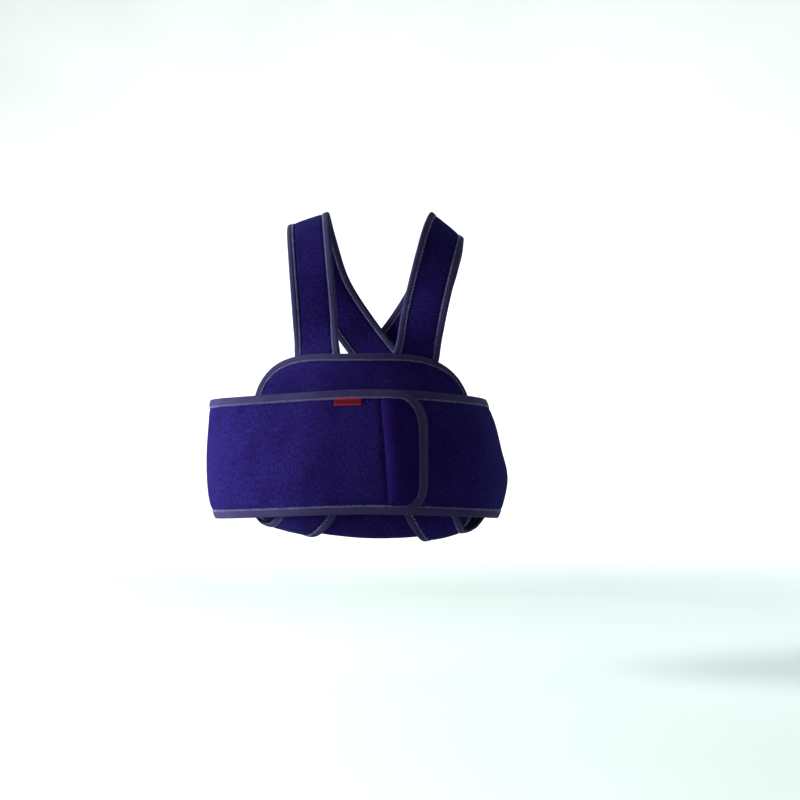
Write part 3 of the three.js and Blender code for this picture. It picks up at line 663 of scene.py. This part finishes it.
def binding_piece(name, pattern, surface, tape_width, raised, material, node):
    """Tape folded over the edge: a closed section of insets and offsets swept round the pattern.

    The section runs out along the lower face, back inside it, round the cloth's edge, out inside the
    upper face and back over it, and round the fold. A face is a low crown with a sewn valley near its
    lip. raised adds to the upper face by inset, u and v.
    """
    inner_half = TAPE_HALF - TAPE_THICKNESS
    fold_centre = TAPE_HALF - SEAM_CLEARANCE - TAPE_THICKNESS
    valley = tape_width - 2.0
    reach = np.concatenate([
        np.linspace(fold_centre, valley - 1.4, 8, endpoint=False),
        valley + np.array([-1.4, -0.8, -0.3, 0.3, 0.8]),
        [tape_width - 0.6, tape_width - 0.15],
    ])
    crown = TAPE_CROWN * np.sin(np.pi * (reach - fold_centre) / (valley - fold_centre)).clip(0, 1)
    heights = TAPE_HALF + crown - TAPE_VALLEY_DEPTH * hump(valley, 0.55, reach)
    heights[-1] -= 0.28
    lip_reach = np.array([tape_width, tape_width - 0.1])
    lip_heights = np.array([TAPE_HALF - 0.62, inner_half + 0.1])
    back_reach = np.array([tape_width - 0.6, 0.5 * tape_width, SEAM_CLEARANCE, -0.7 * SEAM_CLEARANCE])
    back_heights = np.array([inner_half, inner_half, inner_half, 0.55 * inner_half])
    fold = np.linspace(np.pi / 2, -np.pi / 2, 13)[1:-1]
    insets = np.concatenate([reach, lip_reach, back_reach, back_reach[::-1], lip_reach[::-1],
                             reach[::-1], fold_centre - TAPE_HALF * np.cos(fold)])
    offsets = np.concatenate([-heights, -lip_heights, -back_heights, back_heights[::-1],
                              lip_heights[::-1], heights[::-1], TAPE_HALF * np.sin(fold)])
    on_upper = offsets > inner_half + 0.05

    rings = np.stack([pattern.ring(inset) for inset in insets], axis=1)
    u, v = rings[..., 0], rings[..., 1]
    middle = pattern.ring(tape_width / 2)
    steps = np.linalg.norm(np.roll(middle, -1, axis=0) - middle, axis=1)
    walked = np.concatenate([[0], np.cumsum(steps)])
    sides = np.stack([insets, offsets], axis=-1)
    widths = np.linalg.norm(np.roll(sides, -1, axis=0) - sides, axis=1)
    round_section = np.concatenate([[0], np.cumsum(widths)])

    # Stitches draw the tape in a little, so its faces rise and fall along it near the valley.
    drawn = 0.1 * np.sin(2 * np.pi * walked[:-1] / 7.3)[:, None] * hump(valley - 1.5, 2.2, insets)[None, :]
    offset = offsets[None, :] + np.sign(offsets)[None, :] * drawn
    offset = offset + np.where(on_upper, raised(insets[None, :], u, v), 0)
    points = surface(u, v) + surface_normal(surface, u, v) * offset[..., None]

    stations, section = len(rings), len(insets)
    k = np.arange(stations)[:, None]
    i = np.arange(section)[None, :]
    k_after = (k + 1) % stations
    i_after = (i + 1) % section
    faces = np.stack([
        k * section + i,
        k * section + i_after,
        k_after * section + i_after,
        k_after * section + i,
    ], axis=-1).reshape(-1, 4)
    corner_k = np.stack([k + 0 * i, k + 0 * i, k + 1 + 0 * i, k + 1 + 0 * i], axis=-1).ravel()
    corner_i = np.stack([i + 0 * k, i + 1 + 0 * k, i + 1 + 0 * k, i + 0 * k], axis=-1).ravel()
    corner_uv = np.stack([walked[corner_k], round_section[corner_i]], axis=-1)
    return make_piece(name, points.reshape(-1, 3), faces, corner_uv, material, node)


def stitch_bars(starts, ends, normals):
    """Threads from start to end: each is four pentagons, low and thin at the ends, high between them."""
    along = unit(ends - starts)
    aside = np.cross(along, normals)
    places = np.array([0.0, 0.3, 0.7, 1.0])
    rises = STITCH_BOW * np.array([-0.5, 1.0, 1.0, -0.5])
    radii = STITCH_RADIUS * np.array([0.4, 1.0, 1.0, 0.4])
    turns = np.arange(5) / 5 * 2 * np.pi
    centres = starts[:, None] + (ends - starts)[:, None] * places[None, :, None]
    centres = centres + normals[:, None] * rises[None, :, None]
    outline = (
        aside[:, None, None] * np.cos(turns)[None, None, :, None]
        + normals[:, None, None] * np.sin(turns)[None, None, :, None]
    )
    points = centres[:, :, None] + outline * radii[None, :, None, None]
    j = np.arange(3)[:, None]
    i = np.arange(5)[None, :]
    quads = np.stack([5 * j + i, 5 * j + (i + 1) % 5, 5 * j + 5 + (i + 1) % 5, 5 * j + 5 + i], axis=-1)
    quads = quads.reshape(-1, 4)
    first_cap = np.array([[0, 4, 3], [0, 3, 2], [0, 2, 1]])
    last_cap = np.array([[15, 16, 17], [15, 17, 18], [15, 18, 19]])
    triangles = np.concatenate([quads[:, [0, 1, 2]], quads[:, [0, 2, 3]], first_cap, last_cap])
    base = 20 * np.arange(len(starts))[:, None, None]
    return points.reshape(-1, 3), (base + triangles[None]).reshape(-1, 3)


def stitch_row_ends(pattern, surface, near_edge, far_edge, face):
    """Points of a zigzag that steps between two rings, and the normals there, on one face.

    Each edge is an inset from the pattern's edge and a height over the middle surface.
    """
    ring_near = pattern.ring(near_edge[0])
    ring_far = pattern.ring(far_edge[0])
    closed = np.concatenate([ring_near, ring_near[:1]])
    walked = np.concatenate([[0], np.cumsum(np.linalg.norm(np.diff(closed, axis=0), axis=1))])
    steps = 2 * int(walked[-1] / STITCH_STEP / 2)
    place = np.interp(np.arange(steps) / steps * walked[-1], walked, np.arange(len(walked)))
    whole = place.astype(int) % len(ring_near)
    part = (place % 1)[:, None]
    after = (whole + 1) % len(ring_near)
    near = ring_near[whole] * (1 - part) + ring_near[after] * part
    far = ring_far[whole] * (1 - part) + ring_far[after] * part
    odd = np.arange(steps) % 2 == 1
    flat = np.where(odd[:, None], far, near)
    offset = np.where(odd, far_edge[1], near_edge[1])
    normal = surface_normal(surface, flat[:, 0], flat[:, 1]) * face
    return surface(flat[:, 0], flat[:, 1]) + normal * offset[:, None], normal


def stitching_piece(name, pattern, surface, tape_width, material):
    """Zigzag seam over the tape's lip, on both faces of the sheet."""
    on_tape = (tape_width - STITCH_ON_TAPE, TAPE_HALF - 0.1)
    on_cloth = (tape_width + STITCH_ON_CLOTH, CLOTH_THICKNESS / 2 - 0.35)
    all_points, all_faces, count = [], [], 0
    for face in (1, -1):
        ends, normals = stitch_row_ends(pattern, surface, on_tape, on_cloth, face)
        points, faces = stitch_bars(ends, np.roll(ends, -1, axis=0), normals)
        all_points.append(points)
        all_faces.append(faces + count)
        count += len(points)
    points = np.concatenate(all_points)
    faces = np.concatenate(all_faces)
    flat_map = np.zeros((faces.size, 2))
    return make_piece(name, points, faces, flat_map, material)


def thickness_at(depth, tape_width):
    """Half thickness: pressed under the tape, full a little beyond it, with a low puff further in."""
    rise = smooth_between(tape_width - 0.8, tape_width + 5.5, depth)
    puff = CLOTH_PUFF * smooth_between(tape_width + 3, tape_width + 24, depth)
    return PRESSED_THICKNESS / 2 + (CLOTH_THICKNESS - PRESSED_THICKNESS) / 2 * rise + puff * rise


def low_waves(u, v, shift):
    """Sum of slow sine waves in several directions, between about -1 and 1."""
    return (
        0.42 * np.sin(u / 27 + v / 61 + shift)
        + 0.30 * np.sin(v / 19 - u / 53 + 2.1 * shift + 1.0)
        + 0.18 * np.sin(u / 11.5 + v / 23 + 0.7 * shift)
        + 0.10 * np.sin(u / 6.1 - v / 9.3 + 1.7 * shift)
    )


def cloth_face(tape_width, side, shift):
    """Offset of one face of a padded sheet by u, v and depth."""
    def offset(u, v, depth):
        free = smooth_between(tape_width + 2, tape_width + 14, depth)
        return side * (thickness_at(depth, tape_width) + CLOTH_WAVE * free * low_waves(u, v, shift))
    return offset


def cloth_insets(tape_width):
    """Rings close together where the thickness changes, and wider apart inside."""
    return np.concatenate([
        [0, tape_width / 2, tape_width - 0.8],
        tape_width + np.array([0.4, 1.4, 2.4, 3.6, 5.5, 8.0, 10.5, 13.0]),
    ])


def belt_face(u, v, depth):
    """Outer face of the belt: padded cloth with a sewn groove along the patch's upright seam."""
    face = cloth_face(BELT_TAPE_WIDTH, 1, 0.0)(u, v, depth)
    from_seam = u - (BELT_LENGTH - TAB_LENGTH - TAB_LEAN * v / BELT_WIDTH)
    return face - SEAM_GROOVE_DEPTH * hump(-1.6, 2.4, from_seam) * smooth_between(8, 14, depth)


def no_raise(inset, u, v):
    """Nothing added to the tape's face."""
    return 0 * (inset + u)


def outer_end_raise(inset, u, v):
    """Two ridges with a groove between them on the tape round the belt's outer end."""
    on_end = smooth_between(BELT_LENGTH - 62, BELT_LENGTH - 34, u)
    outer, inner = END_RIDGE_HEIGHTS
    ridges = outer * hump(2.6, 1.7, inset) + inner * hump(7.2, 1.6, inset)
    return on_end * (ridges - END_GROOVE_DEPTH * hump(4.9, 0.8, inset))


TAB_BOTTOM = CLOTH_THICKNESS / 2 + 0.45
TAB_TOP = CLOTH_THICKNESS / 2 + 2.0


def tab_top(u, v, depth):
    """Rounded edge, and a puffed crown that rises from the seam and sinks towards the rounded end."""
    edge = 1 - np.exp(-(depth + 0.15) / 1.6)
    crown = PATCH_PUFF * hump(13, 9, u) - PATCH_SINK * hump(TAB_SPAN, 8, u) + 0.2 * low_waves(u, v, 0.4)
    return TAB_BOTTOM + (TAB_TOP - TAB_BOTTOM) * edge + crown * smooth_between(0.5, 6, depth)


def tab_under(u, v, depth):
    """Level underside, close to the cloth's face."""
    return TAB_BOTTOM - 0.2 + 0 * u


LABEL_BOTTOM = CLOTH_THICKNESS / 2 + 0.5
LABEL_TOP = CLOTH_THICKNESS / 2 + 1.15


def label_top(u, v, depth):
    """Flat woven field with a turned edge that stands a little prouder along both long sides."""
    edge = 1 - np.exp(-(depth + 0.05) / 0.25)
    border = 0.18 * hump(LABEL_HEIGHT / 2 - 1.0, 0.7, np.abs(v))
    return LABEL_BOTTOM + (LABEL_TOP - LABEL_BOTTOM) * edge + border * edge


def label_under(u, v, depth):
    """Level underside, a little over the cloth's face."""
    return LABEL_BOTTOM - 0.15 + 0 * u


# Materials

class Nodes:
    """Short way to add and join a material's nodes."""

    def __init__(self, name):
        self.material = bpy.data.materials.new(name)
        self.material.use_nodes = True
        self.tree = self.material.node_tree
        self.shader = self.tree.nodes["Principled BSDF"]

    def add(self, kind, inputs=None, **settings):
        node = self.tree.nodes.new("ShaderNode" + kind)
        for key, value in settings.items():
            setattr(node, key, value)
        for key, value in (inputs or {}).items():
            self.put(node.inputs[key], value)
        return node

    def put(self, socket, value):
        if isinstance(value, bpy.types.NodeSocket):
            self.tree.links.new(value, socket)
        else:
            socket.default_value = value

    def map_scaled(self, scale, centre=(0, 0, 0)):
        """The piece's own flat map in metres, times a scale along each of its two ways."""
        flat = self.add("UVMap", uv_map="UVMap").outputs[0]
        return self.add("Mapping", {"Vector": flat, "Scale": (*scale, 1), "Location": centre}).outputs[0]

    def along_and_across(self):
        """The two ways of the piece's own flat map, in metres."""
        flat = self.add("UVMap", uv_map="UVMap").outputs[0]
        return self.add("SeparateXYZ", {"Vector": flat}).outputs[:2]

    def noise(self, vector, detail, scale=1.0):
        inputs = {"Vector": vector, "Scale": scale, "Detail": detail, "Roughness": 0.55}
        return self.add("TexNoise", inputs).outputs["Fac"]

    def ramp(self, value, low, high):
        """Spreads the values between low and high over 0 to 1."""
        inputs = {"Value": value, "From Min": low, "From Max": high}
        return self.add("MapRange", inputs, interpolation_type="SMOOTHSTEP").outputs[0]

    def blend(self, factor, first, second):
        """First colour where the factor is 0, second where it is 1."""
        node = self.add("Mix", data_type="RGBA")
        colour_inputs = [socket for socket in node.inputs if socket.type == "RGBA"]
        self.put(node.inputs[0], factor)
        self.put(colour_inputs[0], first)
        self.put(colour_inputs[1], second)
        return next(socket for socket in node.outputs if socket.type == "RGBA")

    def arithmetic(self, operation, *values):
        node = self.add("Math", operation=operation)
        for socket, value in zip(node.inputs, values):
            self.put(socket, value)
        return node.outputs[0]

    def bump(self, height, distance, strength, below=None):
        """Normal tilted by a height, on top of the relief below it."""
        inputs = {"Height": height, "Distance": distance, "Strength": strength}
        if below is not None:
            inputs["Normal"] = below
        return self.add("Bump", inputs).outputs[0]

    def finish(self, **inputs):
        for key, value in inputs.items():
            self.put(self.shader.inputs[key.replace("_", " ")], value)
        return self.material


def brushed_cloth(name, deep, lit, streak_contrast):
    """Brushed loop cloth: short upright streaks of nap over fine loops, with slow brushed patches."""
    n = Nodes(name)
    streaks = n.noise(n.map_scaled((620, 190)), detail=2.0)
    fibres = n.noise(n.map_scaled((2300, 900), (3, 7, 0)), detail=3.0)
    patches = n.noise(n.map_scaled((26, 17), (1, 2, 0)), detail=3.0)
    loops = n.add("TexVoronoi", {"Vector": n.map_scaled((1250, 1250)), "Scale": 1.0}).outputs["Distance"]
    nap = n.blend(n.ramp(streaks, 0.36, 0.66), (*deep, 1), (*lit, 1))
    worn = tuple(1.25 * c for c in lit)
    nap = n.blend(n.arithmetic("MULTIPLY", n.ramp(fibres, 0.5, 0.72), streak_contrast), nap, (*worn, 1))
    dark = tuple(0.72 * c for c in deep)
    colour = n.blend(n.arithmetic("MULTIPLY", n.ramp(patches, 0.42, 0.7), 0.45), nap, (*dark, 1))
    relief = n.bump(loops, 0.00035, 0.55)
    relief = n.bump(streaks, 0.0006, 0.5, relief)
    relief = n.bump(fibres, 0.00025, 0.5, relief)
    return n.finish(
        Base_Color=colour, Normal=relief, Roughness=0.95, Specular_IOR_Level=0.006,
        Sheen_Weight=0.015, Sheen_Roughness=0.4, Sheen_Tint=(0.40, 0.70, 1.0, 1),
    )


def woven_tape(name, deep, lit):
    """Twill binding tape: ribs across it, finer yarns along it, and a slow change of tone."""
    n = Nodes(name)
    along, across = n.along_and_across()
    slant = n.arithmetic("MULTIPLY_ADD", along, 5200.0, n.arithmetic("MULTIPLY", across, 2600.0))
    rib = n.arithmetic("SINE", slant)
    yarn = n.arithmetic("SINE", n.arithmetic("MULTIPLY", across, 6800.0))
    weave = n.arithmetic("MULTIPLY_ADD", rib, 0.3, n.arithmetic("MULTIPLY_ADD", yarn, 0.2, 0.5))
    fuzz = n.noise(n.map_scaled((900, 1500)), detail=3.0)
    slow = n.noise(n.map_scaled((45, 90)), detail=2.0)
    tone = n.blend(n.ramp(weave, 0.05, 0.95), (*deep, 1), (*lit, 1))
    pale = tuple(1.35 * c for c in lit)
    tone = n.blend(n.arithmetic("MULTIPLY", n.ramp(fuzz, 0.5, 0.75), 0.5), tone, (*pale, 1))
    colour = n.blend(n.arithmetic("MULTIPLY", n.ramp(slow, 0.4, 0.7), 0.3), tone, (*deep, 1))
    relief = n.bump(weave, 0.00022, 0.7)
    relief = n.bump(fuzz, 0.0002, 0.4, relief)
    return n.finish(
        Base_Color=colour, Normal=relief, Roughness=0.85, Specular_IOR_Level=0.03,
        Sheen_Weight=0.015, Sheen_Roughness=0.5, Sheen_Tint=(0.75, 0.74, 1.0, 1),
    )


def red_label(name):
    """Woven label: a dark red field of fine crosswise yarns between two lighter borders."""
    n = Nodes(name)
    along, across = n.along_and_across()
    height = n.arithmetic("ABSOLUTE", across)
    outer = n.ramp(height, 0.0030, 0.0034)
    inner = n.ramp(height, 0.0042, 0.0045)
    border = n.arithmetic("SUBTRACT", outer, inner)
    yarn = n.arithmetic("SINE", n.arithmetic("MULTIPLY", along, 11000.0))
    row = n.arithmetic("SINE", n.arithmetic("MULTIPLY", across, 9000.0))
    weave = n.arithmetic("MULTIPLY_ADD", n.arithmetic("MULTIPLY", yarn, row), 0.5, 0.5)
    fuzz = n.noise(n.map_scaled((1400, 1400)), detail=2.0)
    field = n.blend(weave, (0.040, 0.0014, 0.0048, 1), (0.072, 0.0028, 0.0085, 1))
    colour = n.blend(n.arithmetic("MULTIPLY", border, 0.85), field, (0.22, 0.008, 0.020, 1))
    fuzzy = n.arithmetic("MULTIPLY", n.ramp(fuzz, 0.5, 0.8), 0.35)
    colour = n.blend(fuzzy, colour, (0.12, 0.010, 0.020, 1))
    relief = n.bump(weave, 0.00015, 0.6)
    return n.finish(
        Base_Color=colour, Normal=relief, Roughness=0.7, Specular_IOR_Level=0.03,
        Sheen_Weight=0.01, Sheen_Roughness=0.5, Sheen_Tint=(1.0, 0.7, 0.75, 1),
    )


def sewing_thread(name):
    """Slightly shiny thread, lighter than the tape, with small changes of tone from stitch to stitch."""
    n = Nodes(name)
    place = n.add("TexCoord").outputs["Object"]
    spots = n.noise(place, detail=1.0, scale=420.0)
    colour = n.blend(n.ramp(spots, 0.35, 0.65), (0.045, 0.040, 0.10, 1), (0.14, 0.13, 0.25, 1))
    return n.finish(Base_Color=colour, Roughness=0.55, Specular_IOR_Level=0.15)


def pale_backdrop(name):
    """Matt pale paper with hardly any grain."""
    n = Nodes(name)
    place = n.add("TexCoord").outputs["Object"]
    grain = n.noise(place, detail=2.0, scale=1.4)
    colour = n.blend(n.ramp(grain, 0.3, 0.7), (0.60, 0.61, 0.60, 1), (0.63, 0.64, 0.63, 1))
    return n.finish(Base_Color=colour, Roughness=0.95, Specular_IOR_Level=0.1)


navy_cloth = brushed_cloth("navy_loop_cloth", (0.0048, 0.0016, 0.029), (0.0098, 0.0060, 0.056), 0.55)
patch_cloth = brushed_cloth("patch_cloth", (0.0046, 0.0014, 0.026), (0.0080, 0.0034, 0.044), 0.3)
binding_tape = woven_tape("binding_tape", (0.0095, 0.0062, 0.029), (0.026, 0.0200, 0.058))
label_weave = red_label("label_weave")
thread = sewing_thread("sewing_thread")


# Pieces

def padded_sheet(name, pattern, surface, tape_width, shift, node):
    """Navy sheet with the same padded face on both sides and waves that differ between them."""
    return sheet_piece(
        name, pattern, surface, cloth_insets(tape_width),
        cloth_face(tape_width, 1, shift), cloth_face(tape_width, -1, shift + 2.0),
        navy_cloth, node,
    )


belt = sheet_piece(
    "belt_cloth", belt_pattern, belt_surface, cloth_insets(BELT_TAPE_WIDTH), belt_face,
    cloth_face(BELT_TAPE_WIDTH, -1, 2.0), navy_cloth, "belt",
)
belt_tape = binding_piece(
    "belt_tape", belt_pattern, belt_surface, BELT_TAPE_WIDTH, outer_end_raise, binding_tape,
    "belt_binding",
)
belt_stitching = stitching_piece("belt_stitching", belt_pattern, belt_surface, BELT_TAPE_WIDTH, thread)
end_patch = sheet_piece(
    "belt_end_patch", tab_pattern, tab_surface, np.array([0, 0.3, 0.7, 1.3, 2.2, 3.4, 5.0, 7.0]),
    tab_top, tab_under, patch_cloth, "belt_end_tab",
)
label = sheet_piece(
    "red_label", label_pattern, label_surface, np.array([0, 0.15, 0.35, 0.7, 1.1]),
    label_top, label_under, label_weave, "label",
)

pouch = padded_sheet("pouch_cloth", pouch_pattern, pouch_surface, TRIM_TAPE_WIDTH, 1.1, "pouch")
pouch_tape = binding_piece(
    "pouch_tape", pouch_pattern, pouch_surface, TRIM_TAPE_WIDTH, no_raise, binding_tape,
    "pouch_binding",
)
pouch_stitching = stitching_piece("pouch_stitching", pouch_pattern, pouch_surface, TRIM_TAPE_WIDTH, thread)

straps = {}
for side, pattern, surface, shift in (
    ("right", right_strap_pattern, right_strap_surface, 2.3),
    ("left", left_strap_pattern, left_strap_surface, 3.7),
):
    cloth = padded_sheet(f"{side}_strap_cloth", pattern, surface, TRIM_TAPE_WIDTH, shift, f"{side}_strap")
    tape = binding_piece(
        f"{side}_strap_tape", pattern, surface, TRIM_TAPE_WIDTH, no_raise, binding_tape,
        f"{side}_strap_binding",
    )
    stitching = stitching_piece(f"{side}_strap_stitching", pattern, surface, TRIM_TAPE_WIDTH, thread)
    straps[side] = (cloth, tape, stitching)

for side, pattern in (("right", right_strap_pattern), ("left", left_strap_pattern)):
    cloth, tape, stitching = straps[side]


# Floor, light and camera, in metres

FLOOR_LEVEL = -0.62
FLOOR_REACH = 2.0
WALL_ROUND = 4.5
WALL_RISE = 4.0


def backdrop_bowl():
    """Pale paper floor whose rim turns up all round: a flat disc, a quarter round and a wall, revolved."""
    turn = np.linspace(0, np.pi / 2, 24)
    radius = np.concatenate([
        np.linspace(0.02, FLOOR_REACH, 12), FLOOR_REACH + WALL_ROUND * np.sin(turn[1:]),
        [FLOOR_REACH + WALL_ROUND],
    ])
    level = np.concatenate([
        np.zeros(12), WALL_ROUND * (1 - np.cos(turn[1:])), [WALL_ROUND + WALL_RISE],
    ]) + FLOOR_LEVEL
    around = np.arange(96) / 96 * 2 * np.pi
    points = np.stack([
        radius[None, :] * np.cos(around)[:, None],
        radius[None, :] * np.sin(around)[:, None],
        level[None, :] + 0 * around[:, None],
    ], axis=-1)
    rows, columns = points.shape[:2]
    k = np.arange(rows)[:, None]
    i = np.arange(columns - 1)[None, :]
    after = (k + 1) % rows
    faces = np.stack([
        k * columns + i, k * columns + i + 1, after * columns + i + 1, after * columns + i,
    ], axis=-1).reshape(-1, 4)
    middle = [list(range(0, rows * columns, columns))]
    mesh = bpy.data.meshes.new("backdrop")
    mesh.from_pydata(points.reshape(-1, 3).tolist(), [], faces.tolist() + middle)
    mesh.polygons.foreach_set("use_smooth", np.ones(len(mesh.polygons), dtype=bool))
    mesh.materials.append(pale_backdrop("backdrop_paper"))
    bowl = bpy.data.objects.new("backdrop", mesh)
    bpy.context.scene.collection.objects.link(bowl)
    return bowl


def soft_light(name, place, aim, size, power, colour):
    """Square area light that faces the point aimed at."""
    lamp = bpy.data.lights.new(name, "AREA")
    lamp.size = size
    lamp.energy = power
    lamp.color = colour
    light = bpy.data.objects.new(name, lamp)
    bpy.context.scene.collection.objects.link(light)
    light.location = place
    direction = np.array(aim) - np.array(place)
    flat = np.hypot(direction[0], direction[1])
    light.rotation_euler = (np.arctan2(flat, -direction[2]), 0, np.arctan2(-direction[0], direction[1]))


MIDDLE = (-0.02, -0.03, -0.24)
backdrop_bowl()
soft_light("key", (-3.2, -0.5, 0.30), MIDDLE, 1.1, 540.0, (0.84, 1.0, 0.92))
soft_light("fill", (-1.4, -3.2, 1.1), MIDDLE, 2.2, 10.0, (0.94, 0.98, 1.0))
soft_light("rim", (2.6, 1.1, 0.4), MIDDLE, 1.2, 60.0, (0.70, 0.85, 1.0))
soft_light("backdrop_light", (0, 2.6, 1.6), (0, 5.5, -0.3), 2.0, 100.0, (1.0, 0.97, 1.0))

world = bpy.data.worlds.new("studio")
world.use_nodes = True
surround = world.node_tree.nodes["Background"].inputs
surround["Color"].default_value = (1.0, 0.95, 1.0, 1)
surround["Strength"].default_value = 0.30
bpy.context.scene.world = world

bpy.context.scene.view_settings.view_transform = "Standard"

camera_data = bpy.data.cameras.new("camera")
camera_data.sensor_width = 36
camera_data.lens = 85.85
camera = bpy.data.objects.new("camera", camera_data)
bpy.context.scene.collection.objects.link(camera)
camera.location = (0.027, -2.6, -0.243)
camera.rotation_euler = (np.pi / 2, 0, 0)
bpy.context.scene.camera = camera
